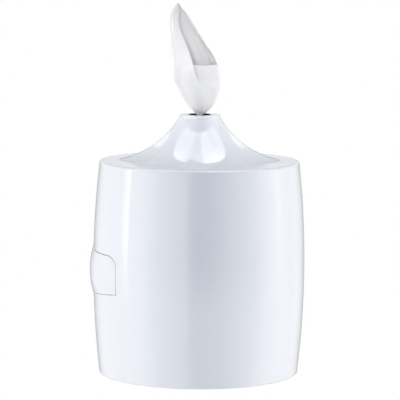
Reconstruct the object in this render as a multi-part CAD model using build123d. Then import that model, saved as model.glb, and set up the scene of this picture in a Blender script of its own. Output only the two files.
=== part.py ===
from build123d import *
import os
from math import asin, cos, degrees, radians, sin, sqrt

# A wall-mounted dispenser for pre-moistened wipes, in millimetres.
# It is drawn round the barrel's axis: Z up from the underside, the wall at +Y, the front at -Y.
# At the end every piece is moved so that the origin is the middle of the wall screws.

# Refill: a centre-feed roll in its film bag
roll_radius = 92.0
roll_bore_radius = 22.0
roll_height = 203.0
bag_film = 0.6
bag_slack = 0.4
bag_headroom = 8.0
bag_mouth_radius = 42.0

# Barrel and deck, sized round the refill
wall = 2.5
floor_thickness = 2.5
tray_thickness = 2.5
side_room = 35.5
top_room = 62.0
barrel_swell = 8.1
rim_round = 3.0
foot_round = 2.0

# Nozzle, from the orifice outward
orifice_radius = 15.6
orifice_lip_thickness = 2.0
orifice_round = 0.7
diaphragm_seat = 2.8
diaphragm_thickness = 1.5
slit_width = 0.8
slit_margin = 3.0
slit_count = 6
retainer_thickness = 2.0
retainer_overlap = 2.0
skirt_wall = 2.0
skirt_depth = 8.0
snap_clearance = 0.1
neck_ring_wall = 2.6
neck_ring_depth = 16.0
neck_web_height = 4.0
neck_room = 1.0
collar_height = 4.0
collar_overhang = 0.4
collar_round = 1.2
collar_gap = 0.6

# Hollow cones that carry the neck, as radius and height above the deck
cone_height = 56.0
front_waist_radius = 42.0
front_waist_height = 29.0
front_foot_radius = 80.0
rear_lip_step = 0.2
rear_waist_radius = 54.0
rear_waist_height = 24.6
rear_foot_radius = 106.0

# Shoulders of the front cover: the rear cone's outline, swept from the seam to the front and inwards
shoulder_reach = 30.0
shoulder_draw = 36.0
shoulder_wall = 3.8
shoulder_root = 18.0
shoulder_slope = 0.62

# Seam between the front cover and the rear housing
seam_gap = 0.8
foot_rim_width = 8.0
foot_rim_thickness = 1.8

# Wall box and its screw holes
box_half_width = 75.0
box_bottom = 14.0
box_top_drop = 16.0
box_corner_round = 6.0
wall_hole_spacing_x = 100.0
wall_hole_spacing_z = 130.0
wall_hole_height = 140.0
wall_hole_radius = 2.75
wall_pad_radius = 9.0
wall_pad_thickness = 2.5

# Cover hinge, on the right, half sunk in the skin
hinge_inset = 5.1
hinge_setback = 24.0
hinge_pin_radius = 2.0
hinge_knuckle_radius = 4.0
hinge_tab_bottom = 60.0
hinge_tab_height = 25.0
hinge_lug_height = 10.0
hinge_end_gap = 0.6
hinge_notch_clearance = 0.9
hinge_overlap = 6.0
hinge_pocket_clearance = 0.5
hinge_pocket_height = 4.0
pin_clearance = 0.05
pin_head_radius = 3.4
pin_head_thickness = 1.5
pin_tail = 1.0
clip_thickness = 0.8

# Latch pad, on the left
pad_bottom_at_seam = 103.0
pad_bottom_at_front = 113.5
pad_top = 162.5
pad_top_at_seam = 168.0
pad_top_bend = 38.0
pad_top_bend_round = 60.0
pad_reach = 88.5
pad_rise = 4.6
pad_gap = 0.35
pad_corner_round = 14.0
pad_flange = 2.5
pad_flange_thickness = 2.0
pad_flange_gap = 0.4
pad_flange_reach = 70.0
pivot_setback = 14.4
pivot_depth = 9.6
pivot_boss_radius = 4.5
pivot_lug_height = 5.0
pivot_pin_radius = 2.0
knuckle_end_gap = 1.05
finger_notch_depth = 5.0
finger_notch_margin = 2.0

# Spring clip in the housing, and the pad's hook that snaps behind it
strike_inset = 7.1
strike_height = 20.0
strike_thickness = 0.8
strike_lip_y = 8.8
strike_lip_depth = 3.5
strike_screw_y = 23.0
strike_end_margin = 7.0
strike_boss_margin = 1.0
hook_height = 14.0
hook_thickness = 3.3
hook_lip_gap = 0.7
hook_barb_gap = 0.2
hook_catch_gap = 0.4
hook_barb_length = 5.3
hook_barb_land = 1.0
hook_root_y = -15.0
hook_root_length = 8.0

# Leaf spring behind the pad
leaf_thickness = 0.8
leaf_height = 14.0
leaf_gap = 0.06
leaf_anchor_reach = 15.0
leaf_anchor_span = 3.5
leaf_tip_reach = 22.0
leaf_bow_shift = 3.0
leaf_sag = 4.4

# Tray and screws
tray_gap = 1.0
tray_rim_height = 8.0
tray_rim_wall = 2.0
tray_screw_margin = 9.7
tray_screw_angles = (25, 70, 110, 155)
screw_radius = 1.6
screw_head_radius = 3.2
screw_head_height = 1.8
screw_clearance = 0.05
screw_depth = 2.8
short_screw_depth = 1.8

# The wipe in the orifice
strand_half_width = 6.0
strand_half_depth = 3.2
strand_clearance = 0.35
strand_above_bag = 16.0
tail_height = 147.5
tail_thickness = 2.4

# How far a cutting solid runs past what it cuts
overcut = 1.0

# Sizes that follow from those above
tray_top = floor_thickness + tray_thickness
bag_radius = roll_radius + bag_slack + bag_film
bag_top = tray_top + roll_height + bag_headroom
barrel_height = bag_top + top_room
barrel_end_radius = roll_radius + side_room + wall
barrel_mid_radius = barrel_end_radius + barrel_swell
middle = barrel_height / 2
diaphragm_radius = orifice_radius + diaphragm_seat - snap_clearance
skirt_radius = orifice_radius + diaphragm_seat + skirt_wall
neck_ring_bore = skirt_radius + snap_clearance
neck_ring_radius = neck_ring_bore + neck_ring_wall
front_lip_radius = neck_ring_radius + neck_room + wall
rear_lip_radius = front_lip_radius + rear_lip_step
collar_radius = front_lip_radius + collar_overhang
cone_top = barrel_height + cone_height
neck_top = cone_top + collar_height
diaphragm_top = neck_top - orifice_lip_thickness
hinge_x = barrel_mid_radius - hinge_inset
hinge_tab_upper_bottom = barrel_height - hinge_tab_bottom - hinge_tab_height
pivot_radius = barrel_mid_radius - wall - pivot_depth
pivot_angle = 180 + degrees(asin((pad_reach - pivot_setback) / pivot_radius))
leaf_anchor_angle = pivot_angle + leaf_anchor_reach
leaf_tip_angle = pivot_angle - leaf_tip_reach
strike_line = barrel_mid_radius - strike_inset
hook_outer = strike_line - strike_lip_depth - hook_lip_gap
hook_catch_y = strike_lip_y + hook_catch_gap
tray_radius = barrel_end_radius - foot_rim_width - tray_gap
tray_screw_circle = bag_radius + tray_rim_wall + tray_screw_margin
strand_bottom = bag_top + strand_above_bag
big = 400.0


def barrel_radius(z):
    """Outer radius of the barrel at height z: one arc from end to end."""
    swell = barrel_mid_radius - barrel_end_radius
    arc_radius = (middle ** 2 + swell ** 2) / (2 * swell)
    return barrel_mid_radius - arc_radius + sqrt(arc_radius ** 2 - (z - middle) ** 2)


def arc_centre(a, b, c):
    """Centre of the circle through three points of the r-z plane."""
    d = 2 * (a.X * (b.Y - c.Y) + b.X * (c.Y - a.Y) + c.X * (a.Y - b.Y))
    aa, bb, cc = a.X ** 2 + a.Y ** 2, b.X ** 2 + b.Y ** 2, c.X ** 2 + c.Y ** 2
    x = (aa * (b.Y - c.Y) + bb * (c.Y - a.Y) + cc * (a.Y - b.Y)) / d
    y = (aa * (c.X - b.X) + bb * (a.X - c.X) + cc * (b.X - a.X)) / d
    return Vector(x, y)


def cone_line(lip, waist, foot, depth):
    """Three points of the hollow cone's arc, pushed in by a wall's depth."""
    points = [Vector(r, barrel_height + h) for r, h in (lip, waist, foot)]
    centre = arc_centre(*points)
    return [p + (p - centre).normalized() * depth for p in points]


def front_cone(depth):
    lip, waist = (front_lip_radius, cone_height), (front_waist_radius, front_waist_height)
    return cone_line(lip, waist, (front_foot_radius, 0), depth)


def rear_cone(depth):
    lip, waist = (rear_lip_radius, cone_height), (rear_waist_radius, rear_waist_height)
    return cone_line(lip, waist, (rear_foot_radius, 0), depth)


def shoulders(depth, low):
    """On each side, the rear cone's outline swept from the seam to the front and inwards."""
    lip, waist, foot = rear_cone(depth)
    corner, top = Vector(foot.X, low), Vector(lip.X, cone_top + overcut)
    outline = make_face([Line((0, low), corner), Line(corner, foot), ThreePointArc(foot, waist, lip),
                         Line(lip, top), Line(top, (0, top.Y)), Line((0, top.Y), (0, low))])
    reach = sqrt(shoulder_reach ** 2 + shoulder_draw ** 2)
    swept = extrude(Plane.XZ * outline, reach, dir=(-shoulder_draw, -shoulder_reach, 0))
    far = Vector(shoulder_root + big, -shoulder_slope * big)
    side = swept & prism([(shoulder_root, 0), far, (far.X, 0)], low, cone_top)
    return side + mirror(side, Plane.YZ)


def turned_body(cone, depth, floor=0):
    """The barrel with deck and cone turned about its axis, its walls pushed in by depth."""
    lip, waist, foot = cone(depth)
    deck = barrel_height - depth
    low = Vector(barrel_end_radius - depth, 0)
    mid = Vector(barrel_mid_radius - depth, middle)
    high = Vector(barrel_end_radius - depth, deck)
    corner = Vector(foot.X, deck)
    lines = [Line((0, 0), low), ThreePointArc(low, mid, high), Line(high, corner)]
    if depth:
        lines.append(Line(corner, foot))
    lines += [ThreePointArc(foot, waist, lip)]
    if depth:
        lines.append(Line(lip, (lip.X, cone_top)))
    lines += [Line((lip.X, cone_top), (0, cone_top)), Line((0, cone_top), (0, 0))]
    body = revolve(Plane.XZ * make_face(lines), Axis.Z)
    return body & block(-big, big, -big, big, floor, big) if floor else body


def circles_at(solid, radius, z):
    """The solid's round edges of one radius at one height."""
    rings = solid.edges().filter_by(GeomType.CIRCLE)
    return [e for e in rings if abs(e.radius - radius) < 0.05 and abs(e.arc_center.Z - z) < 0.05]


def outer_body(cone):
    body = turned_body(cone, 0)
    body = fillet(circles_at(body, barrel_end_radius, barrel_height), rim_round)
    return fillet(circles_at(body, barrel_end_radius, 0), foot_round)


def block(x0, x1, y0, y1, z0, z1):
    return Pos((x0 + x1) / 2, (y0 + y1) / 2, (z0 + z1) / 2) * Box(x1 - x0, y1 - y0, z1 - z0)


def rod(x, y, z0, z1, radius):
    return Pos(x, y, (z0 + z1) / 2) * Cylinder(radius, z1 - z0)


def ring(outer, inner, z0, z1):
    return rod(0, 0, z0, z1, outer) - rod(0, 0, z0 - overcut, z1 + overcut, inner)


def prism(points, z0, z1):
    """An upright prism over a closed outline in plan."""
    return Pos(0, 0, z0) * extrude(make_face(Polyline(*points, close=True)), z1 - z0)


def front_space():
    return block(-big, big, -big, -seam_gap / 2, -big, big)


def rear_space():
    return block(-big, big, seam_gap / 2, big, -big, big)


def hinge_levels():
    return (hinge_tab_bottom, hinge_tab_upper_bottom)


def hinge_tabs(outer):
    """Two tabs that carry the cover's skin back to the hinge knuckles."""
    inner = turned_body(front_cone, wall)
    tabs = []
    for z in hinge_levels():
        top = z + hinge_tab_height
        skin = (outer - inner) & block(0, big, -hinge_overlap, hinge_setback, z, top)
        knuckle = rod(hinge_x, hinge_setback, z, top, hinge_knuckle_radius)
        radius = hinge_pin_radius + pin_clearance
        bore = rod(hinge_x, hinge_setback, z - overcut, top + overcut, radius)
        tabs.append(skin + knuckle - bore)
    return tabs


def hinge_lugs():
    """Knuckles of the housing above and below each tab, with the pins' holes."""
    solids = []
    for z in hinge_levels():
        low = z - hinge_end_gap - hinge_lug_height
        high = z + hinge_tab_height + hinge_end_gap
        for start in (low, high):
            end = start + hinge_lug_height
            solids.append(rod(hinge_x, hinge_setback, start, end, hinge_knuckle_radius))
    return solids


def hinge_notches():
    """Room in the housing's skin for the tabs and their knuckles."""
    reach = hinge_knuckle_radius + hinge_notch_clearance
    notches = []
    for z in hinge_levels():
        low, high = z - hinge_end_gap, z + hinge_tab_height + hinge_end_gap
        notches.append(block(roll_radius, big, 0, hinge_setback, low, high))
        notches.append(rod(hinge_x, hinge_setback, low, high, reach))
    return notches


def hinge_pockets():
    """Room in the skin for the pins' heads and clips."""
    radius = pin_head_radius + hinge_pocket_clearance
    pockets = []
    for z in hinge_levels():
        low = z - hinge_end_gap - hinge_lug_height
        high = z + hinge_tab_height + hinge_end_gap + hinge_lug_height
        pockets.append(rod(hinge_x, hinge_setback, low - hinge_pocket_height, low, radius))
        pockets.append(rod(hinge_x, hinge_setback, high, high + hinge_pocket_height, radius))
    return pockets


def hinge_pin(z):
    low = z - hinge_end_gap - hinge_lug_height - clip_thickness - pin_tail
    high = z + hinge_tab_height + hinge_end_gap + hinge_lug_height
    head = rod(hinge_x, hinge_setback, high, high + pin_head_thickness, pin_head_radius)
    return rod(hinge_x, hinge_setback, low, high, hinge_pin_radius) + head


def hinge_pin_clips():
    clips = []
    for z in hinge_levels():
        top = z - hinge_end_gap - hinge_lug_height
        clip = rod(hinge_x, hinge_setback, top - clip_thickness, top, pin_head_radius)
        low = top - clip_thickness - overcut
        clips.append(clip - rod(hinge_x, hinge_setback, low, top + overcut, hinge_pin_radius))
    return clips


def pad_outline(grow, flange=0):
    """The pad's side view as a prism along X, grown by a gap or a flange."""
    front = -pad_reach - grow
    raised = grow + flange
    back = finger_notch_depth
    points = [(back, pad_bottom_at_seam - raised), (front, pad_bottom_at_front - raised),
              (front, pad_top + raised), (-pad_top_bend, pad_top + raised),
              (back, pad_top_at_seam + raised)]
    outline = make_face(Polyline(*points, close=True))
    for point, radius in ((points[2], pad_corner_round), (points[3], pad_top_bend_round)):
        corner = outline.vertices().sort_by_distance(Vector(*point))[0]
        outline = fillet([corner], radius)
    return extrude(Plane.YZ * outline, amount=-big)


def pad_dome():
    """Skin of the pad: swollen in height, and run out to the barrel at its front end."""
    low, high = pad_bottom_at_seam, pad_top_at_seam
    mid_z = (low + high) / 2
    side = ThreePointArc((barrel_radius(low), low), (barrel_radius(mid_z) + pad_rise, mid_z),
                         (barrel_radius(high), high))
    face = make_face([side, Line((0, low), (0, high)), Line((0, low), (barrel_radius(low), low)),
                      Line((0, high), (barrel_radius(high), high))])
    lens = revolve(Plane.XZ * face, Axis.Z)
    outer = barrel_radius(mid_z) + pad_rise
    end_x = -sqrt(barrel_radius(mid_z) ** 2 - pad_reach ** 2)
    plan_radius = ((outer + end_x) ** 2 + pad_reach ** 2) / (2 * (outer + end_x))
    return lens & rod(plan_radius - outer, 0, low - overcut, high + overcut, plan_radius)


def spot(angle, radius):
    """Plan point at an angle in degrees round the barrel's axis."""
    return radius * cos(radians(angle)), radius * sin(radians(angle))


def pivot_lug_levels():
    """Bottoms of the cover's two lugs, below and above the pad's flange."""
    reach = pad_reach - pad_flange_reach
    slope = (pad_bottom_at_front - pad_bottom_at_seam) / pad_reach
    low = pad_bottom_at_front - slope * reach - pad_flange - 2 * pad_gap
    return (low - 2 * pivot_lug_height, pad_top + pad_flange + 2 * pad_gap)


def radial_web(inner, outer, width, z0, z1):
    """A block along the radius through the latch pivot."""
    return Rot(0, 0, pivot_angle) * block(inner, outer, -width / 2, width / 2, z0, z1)


def front_cover():
    outer = outer_body(front_cone) + shoulders(0, barrel_height - wall / 2)
    hollow = turned_body(front_cone, wall, foot_rim_thickness)
    hollow += shoulders(shoulder_wall, barrel_height - 2 * wall)
    opening = rod(0, 0, -overcut, foot_rim_thickness + overcut, barrel_end_radius - foot_rim_width)
    cover = (outer - hollow - opening) & front_space()
    web = (outer & front_space()) & ring(big, neck_ring_bore, cone_top - neck_web_height, cone_top)
    cover += web + ring(neck_ring_radius, neck_ring_bore, cone_top - neck_ring_depth, cone_top)
    for tab in hinge_tabs(outer):
        cover += tab
    cover -= pad_outline(pad_gap) & ring(big, pad_reach, 0, barrel_height)
    cover += latch_lugs()
    return cover - leaf_screw_shank()


def latch_lugs():
    """Lugs inside the cover for the pad's pivot pin, and the leaf spring's boss."""
    inside = turned_body(front_cone, wall / 2)
    x, y = spot(pivot_angle, pivot_radius)
    lugs = []
    for z in pivot_lug_levels():
        top = z + pivot_lug_height
        plate = radial_web(pivot_radius, big, 2 * pivot_boss_radius, z, top)
        plate += rod(x, y, z, top, pivot_boss_radius)
        lugs.append((plate & inside) - rod(x, y, z - overcut, top + overcut, pivot_pin_radius))
    return lugs


def leaf_screw_axis():
    """Location on the leaf's anchor, with its Z axis pointing out through the skin."""
    z = leaf_level() + leaf_height / 2
    return Rot(0, 0, leaf_anchor_angle) * Pos(leaf_seat_radius(), 0, z) * Rot(0, 90, 0)


def leaf_anchor_radius():
    """Radius of the leaf's middle line at the ends of its flat seat."""
    return barrel_mid_radius - wall - leaf_gap - leaf_thickness / 2


def leaf_seat_radius():
    """Radius of the inner face of the flat seat, at its screw."""
    return leaf_anchor_radius() * cos(radians(leaf_anchor_span)) - leaf_thickness / 2


def leaf_level():
    low, high = pivot_lug_levels()
    return (low + pivot_lug_height + high - leaf_height) / 2


def leaf_screw_shank():
    """The screw's shank, from the leaf's inner face into the cover's skin."""
    length = barrel_mid_radius - wall - leaf_seat_radius() + short_screw_depth
    return leaf_screw_axis() * Pos(0, 0, length / 2) * Cylinder(screw_radius, length)


def latch_spring():
    """A bowed leaf from the cover's skin, past the pivot pin, to the pad."""
    anchor_radius = leaf_anchor_radius()
    tip_radius = barrel_mid_radius - wall - pad_flange_gap - pad_flange_thickness
    tip_radius -= leaf_gap + leaf_thickness / 2
    bow_angle = (leaf_anchor_angle + leaf_tip_angle) / 2 - leaf_bow_shift
    bow_radius = (anchor_radius + tip_radius) / 2 - leaf_sag
    seat_start = spot(leaf_anchor_angle + leaf_anchor_span, anchor_radius)
    seat_end = spot(leaf_anchor_angle - leaf_anchor_span, anchor_radius)
    bow = ThreePointArc(seat_end, spot(bow_angle, bow_radius), spot(leaf_tip_angle, tip_radius))
    strip = trace(Wire([Line(seat_start, seat_end), bow]), leaf_thickness)
    leaf = Pos(0, 0, leaf_level()) * extrude(strip, leaf_height)
    return leaf - leaf_screw_axis() * Cylinder(screw_radius + screw_clearance, 2 * wall)


def latch_spring_screw():
    head = Pos(0, 0, -screw_head_height / 2) * Cylinder(screw_head_radius, screw_head_height)
    return leaf_screw_axis() * head + leaf_screw_shank()


def latch_lever():
    """The press pad: domed skin, inner flange, pivot knuckles and hook."""
    seam = -seam_gap / 2
    skin = pad_dome() & pad_outline(-pad_gap)
    core = turned_body(front_cone, wall + pad_flange_gap + pad_flange_thickness)
    bed = turned_body(front_cone, wall + pad_flange_gap)
    plate = (bed - core) & pad_outline(0, pad_flange)
    plate &= block(-big, 0, -pad_flange_reach, seam, -big, big)
    lever = (skin - core) + plate
    low_lug, high_lug = pivot_lug_levels()
    x, y = spot(pivot_angle, pivot_radius)
    leaf_low, leaf_high = leaf_level(), leaf_level() + leaf_height
    spans = ((low_lug + pivot_lug_height + pad_gap, leaf_low - knuckle_end_gap),
             (leaf_high + knuckle_end_gap, high_lug - pad_gap - pad_flange))
    for z0, z1 in spans:
        web = radial_web(pivot_radius, barrel_mid_radius - wall, 2 * pivot_boss_radius, z0, z1)
        lever += web & bed
        lever += rod(x, y, z0, z1, pivot_boss_radius)
    lever &= block(-big, 0, -big, seam, -big, big)
    lever += latch_hook()
    return lever - rod(x, y, 0, barrel_height, pivot_pin_radius + pin_clearance)


def hook_bottom():
    return leaf_level() + (leaf_height - hook_height) / 2


def latch_hook():
    """Arm from the pad across the seam, with a barb that points outward."""
    outer, inner = hook_outer, hook_outer - hook_thickness
    root, tip = barrel_mid_radius - wall, strike_line - strike_thickness - hook_barb_gap
    end, root_end = hook_catch_y + hook_barb_length, hook_root_y + hook_root_length
    nose = hook_catch_y + hook_barb_land
    plan = [(root, hook_root_y), (inner, hook_root_y), (inner, end), (outer, end), (tip, nose),
            (tip, hook_catch_y), (outer, hook_catch_y), (outer, root_end), (root, root_end)]
    return prism([(-u, y) for u, y in plan], hook_bottom(), hook_bottom() + hook_height)


def latch_pivot_pin():
    x, y = spot(pivot_angle, pivot_radius)
    low, high = pivot_lug_levels()
    top = high + pivot_lug_height
    pin = rod(x, y, low - clip_thickness - pin_tail, top, pivot_pin_radius)
    return pin + rod(x, y, top, top + pin_head_thickness, pin_head_radius)


def latch_pin_clip():
    x, y = spot(pivot_angle, pivot_radius)
    low = pivot_lug_levels()[0]
    clip = rod(x, y, low - clip_thickness, low, pin_head_radius)
    return clip - rod(x, y, low - clip_thickness - overcut, low + overcut, pivot_pin_radius)


def strike_bottom():
    return leaf_level() + (leaf_height - strike_height) / 2


def strike_screw_levels():
    z = strike_bottom()
    return (z + strike_height * 0.25, z + strike_height * 0.75)


def strike_boss():
    """Block on the housing's left wall that the spring clip is screwed to."""
    z = strike_bottom()
    low, high = z - strike_boss_margin, z + strike_height + strike_boss_margin
    front, back = strike_screw_y - strike_end_margin, strike_screw_y + strike_end_margin
    boss = block(-barrel_mid_radius, -strike_line, front, back, low, high)
    return boss & turned_body(rear_cone, wall / 2)


def latch_strike():
    """Spring clip: a flat leaf with its front end folded inward."""
    z = strike_bottom()
    top = z + strike_height
    front, back = strike_lip_y - strike_thickness, strike_screw_y + strike_end_margin
    leaf = block(-strike_line, -strike_line + strike_thickness, front, back, z, top)
    lip = block(-strike_line, -strike_line + strike_lip_depth, front, strike_lip_y, z, top)
    clip = leaf + lip
    for level in strike_screw_levels():
        hole = Pos(-strike_line, strike_screw_y, level) * Rot(0, 90, 0)
        clip -= hole * Cylinder(screw_radius + screw_clearance, 2 * strike_lip_depth)
    return clip


def latch_strike_screws():
    screws = []
    for level in strike_screw_levels():
        seat = Pos(-strike_line + strike_thickness, strike_screw_y, level) * Rot(0, 90, 0)
        head = Pos(0, 0, screw_head_height / 2) * Cylinder(screw_head_radius, screw_head_height)
        shank = Pos(0, 0, -screw_depth / 2) * Cylinder(screw_radius, screw_depth)
        screws.append(seat * (head + shank))
    return screws


def wall_holes():
    xs = (-wall_hole_spacing_x / 2, wall_hole_spacing_x / 2)
    zs = (wall_hole_height - wall_hole_spacing_z / 2, wall_hole_height + wall_hole_spacing_z / 2)
    return [(x, z) for x in xs for z in zs]


def rear_housing():
    back, box_top = barrel_mid_radius, barrel_height - box_top_drop
    outer = outer_body(rear_cone)
    hollow = turned_body(rear_cone, wall, floor_thickness)
    box = block(-box_half_width, box_half_width, back / 2, back, box_bottom, box_top)
    outer += fillet(box.edges().filter_by(Axis.Y), box_corner_round)
    hollow += block(-box_half_width + wall, box_half_width - wall, back / 2, back - wall,
                    box_bottom + wall, box_top - wall)
    housing = (outer - hollow) & rear_space()
    housing -= rod(0, 0, cone_top - collar_gap, cone_top + overcut, big)
    for pocket in hinge_pockets():
        housing -= pocket
    for lug in hinge_lugs():
        housing += lug
    for notch in hinge_notches():
        housing -= notch
    housing += strike_boss()
    for x, z in wall_holes():
        tilt = Pos(x, back - wall, z) * Rot(90, 0, 0)
        housing += tilt * Pos(0, 0, wall_pad_thickness / 2) * Cylinder(wall_pad_radius, wall_pad_thickness)
        housing -= tilt * Cylinder(wall_hole_radius, 4 * (wall + wall_pad_thickness))
    housing -= finger_notch()
    for z in hinge_levels():
        reach = hinge_end_gap + hinge_lug_height + hinge_pocket_height
        housing -= rod(hinge_x, hinge_setback, z - reach, z + hinge_tab_height + reach, hinge_pin_radius)
    for level in strike_screw_levels():
        seat = Pos(-strike_line, strike_screw_y, level) * Rot(0, 90, 0)
        housing -= seat * Cylinder(screw_radius, 2 * screw_depth)
    for x, y in tray_screw_spots():
        housing -= rod(x, y, -overcut, floor_thickness + overcut, screw_radius)
    return housing


def finger_notch():
    low = pad_bottom_at_seam - finger_notch_margin
    high = pad_top_at_seam + finger_notch_margin
    return block(-big, -pad_reach, 0, finger_notch_depth, low, high)


def tray_screw_spots():
    return [spot(angle, tray_screw_circle) for angle in tray_screw_angles]


def base_tray():
    bore = bag_radius + snap_clearance
    rim_top = tray_top + tray_rim_height
    tray = rod(0, 0, floor_thickness, tray_top, tray_radius)
    tray += ring(bore + tray_rim_wall, bore, floor_thickness, rim_top)
    for x, y in tray_screw_spots():
        tray -= rod(x, y, 0, rim_top, screw_radius + screw_clearance)
    return tray


def base_tray_screws():
    screws = []
    for x, y in tray_screw_spots():
        head = rod(x, y, tray_top, tray_top + screw_head_height, screw_head_radius)
        screws.append(head + rod(x, y, snap_clearance, tray_top, screw_radius))
    return screws


def refill_bag():
    film = bag_film
    bag = rod(0, 0, tray_top, bag_top, bag_radius)
    bag -= rod(0, 0, tray_top + film, bag_top - film, bag_radius - film)
    return bag - rod(0, 0, bag_top - 2 * film, bag_top + film, bag_mouth_radius)


def wipe_roll():
    bottom = tray_top + bag_film
    return ring(roll_radius, roll_bore_radius, bottom, bottom + roll_height)


def nozzle_collar():
    bottom = cone_top - skirt_depth
    collar = rod(0, 0, cone_top, neck_top, collar_radius)
    collar = fillet(circles_at(collar, collar_radius, neck_top), collar_round)
    collar += rod(0, 0, bottom, cone_top, skirt_radius)
    collar -= rod(0, 0, bottom - overcut, diaphragm_top, skirt_radius - skirt_wall)
    collar -= rod(0, 0, bottom, neck_top + overcut, orifice_radius)
    return fillet(circles_at(collar, orifice_radius, neck_top), orifice_round)


def strand(grow, z0, z1):
    section = Ellipse(strand_half_width + grow, strand_half_depth + grow)
    return Pos(0, 0, z0) * extrude(section, z1 - z0)


def nozzle_diaphragm():
    """Black rubber disc with a hole for the strand and slits out from it."""
    low, high = diaphragm_top - diaphragm_thickness, diaphragm_top
    start, end, half = low - overcut, high + overcut, slit_width / 2
    disc = rod(0, 0, low, high, diaphragm_radius) - strand(strand_clearance, start, end)
    for i in range(slit_count):
        slit = block(0, orifice_radius - slit_margin, -half, half, start, end)
        disc -= Rot(0, 0, 360 / slit_count * (i + 0.5)) * slit
    return disc


def nozzle_retainer():
    top = diaphragm_top - diaphragm_thickness
    return ring(diaphragm_radius, orifice_radius - retainer_overlap, top - retainer_thickness, top)


def wipe_feed():
    return strand(0, strand_bottom, neck_top)


# The standing wipe, level by level, in shares of its height: height above the neck, then four
# points across it as (x, depth): left edge, front crease, valley, right edge. The folds run up
# through them.
tail_levels = (
    (0.0, ((-0.041, 0.008), (-0.014, -0.008), (0.014, 0.008), (0.041, -0.008))),
    (0.075, ((-0.088, 0.020), (-0.020, -0.027), (0.027, 0.020), (0.088, -0.027))),
    (0.217, ((-0.176, 0.027), (-0.017, -0.054), (0.054, 0.027), (0.153, -0.047))),
    (0.359, ((-0.227, 0.034), (-0.027, -0.068), (0.054, 0.034), (0.159, -0.054))),
    (0.502, ((-0.237, 0.034), (-0.075, -0.075), (0.020, 0.034), (0.132, -0.041))),
    (0.644, ((-0.254, 0.027), (-0.122, -0.068), (-0.041, 0.027), (0.044, -0.020))),
    (0.786, ((-0.264, 0.020), (-0.183, -0.047), (-0.115, 0.020), (-0.051, -0.007))),
    (0.895, ((-0.264, 0.014), (-0.203, -0.027), (-0.156, 0.014), (-0.112, 0.0))),
    (0.966, ((-0.237, 0.007), (-0.210, -0.014), (-0.190, 0.007), (-0.166, 0.0))),
    (1.000, ((-0.210, 0.002), (-0.205, -0.003), (-0.199, 0.002), (-0.193, 0.0))),
)


def tail_section(points):
    """A folded ribbon as a closed outline, as thick as its layers of cloth."""
    half = tail_thickness / 2
    near = [(x * tail_height, depth * tail_height - half) for x, depth in points]
    far = [(x * tail_height, depth * tail_height + half) for x, depth in points]
    return make_face(Polyline(*near, *reversed(far), close=True))


def wipe_tail():
    sections = []
    for level, points in tail_levels:
        sections.append(Pos(0, 0, neck_top + level * tail_height) * tail_section(points))
    return loft(sections, ruled=True)


def save(name, shapes):
    """Move a piece to the wall origin and write it as its own file."""
    to_wall = Pos(0, -barrel_mid_radius, -wall_hole_height)
    shapes = shapes if isinstance(shapes, list) else [shapes]
    placed = [to_wall * s for s in shapes]
    whole = placed[0] if len(placed) == 1 else Compound(children=placed)
    export_step(whole, f"parts/{name}.step")


pieces = {
    "rear_housing": rear_housing,
    "base_tray": base_tray,
    "base_tray_screws": base_tray_screws,
    "hinge_pin_upper": lambda: hinge_pin(hinge_tab_upper_bottom),
    "hinge_pin_lower": lambda: hinge_pin(hinge_tab_bottom),
    "hinge_pin_clips": hinge_pin_clips,
    "latch_strike": latch_strike,
    "latch_strike_screws": latch_strike_screws,
    "refill_bag": refill_bag,
    "wipe_roll": wipe_roll,
    "front_cover": front_cover,
    "nozzle_collar": nozzle_collar,
    "nozzle_diaphragm": nozzle_diaphragm,
    "nozzle_retainer": nozzle_retainer,
    "latch_pivot_pin": latch_pivot_pin,
    "latch_pin_clip": latch_pin_clip,
    "latch_spring": latch_spring,
    "latch_spring_screw": latch_spring_screw,
    "latch_lever": latch_lever,
    "wipe_feed": wipe_feed,
    "wipe_tail": wipe_tail,
}

os.makedirs("parts", exist_ok=True)
for piece_name, make in pieces.items():
    save(piece_name, make())
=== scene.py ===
from math import cos, pi, radians, sin, sqrt

import bpy
import numpy as np
from mathutils import Matrix, Vector

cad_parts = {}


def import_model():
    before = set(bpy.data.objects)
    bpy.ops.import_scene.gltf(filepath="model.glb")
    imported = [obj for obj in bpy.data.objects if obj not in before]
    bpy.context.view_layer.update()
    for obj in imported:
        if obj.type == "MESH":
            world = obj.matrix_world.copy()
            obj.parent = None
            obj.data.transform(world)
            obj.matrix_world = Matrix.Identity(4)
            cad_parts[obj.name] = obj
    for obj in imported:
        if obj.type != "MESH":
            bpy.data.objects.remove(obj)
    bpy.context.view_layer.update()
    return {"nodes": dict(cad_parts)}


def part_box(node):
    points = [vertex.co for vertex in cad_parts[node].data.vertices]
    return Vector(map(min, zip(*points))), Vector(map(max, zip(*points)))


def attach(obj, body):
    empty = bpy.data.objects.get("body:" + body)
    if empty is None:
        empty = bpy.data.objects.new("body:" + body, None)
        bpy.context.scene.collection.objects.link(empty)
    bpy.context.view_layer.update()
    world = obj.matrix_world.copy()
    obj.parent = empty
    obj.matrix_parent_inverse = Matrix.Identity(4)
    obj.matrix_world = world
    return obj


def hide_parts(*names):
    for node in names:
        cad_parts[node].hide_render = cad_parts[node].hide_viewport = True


# Looks of a wall-mounted dispenser for wipes, in metres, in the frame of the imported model:
# Z up, the wall at y = 0, the front at -Y.
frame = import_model()
NODES = frame["nodes"]

# The barrel's upright axis, its widest radius and the height of that, and how it narrows: its radius
# is less by this times the square of the distance in height.
AXIS_Y = -0.1381
BARREL_RADIUS, BARREL_MIDDLE, BARREL_SWELL = 0.1381, -0.001, 0.419
# What lies less than this deep in the barrel, or above this height, is its polished outside.
SKIN_DEPTH, SKIN_HEIGHT = 0.0013, 0.1368
NECK_TOP = 0.198
ROLL_RADIUS, ROLL_BORE = 0.092, 0.022
# Play that keeps two meshes' faces apart.
APART = 0.0002


# Materials

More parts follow.
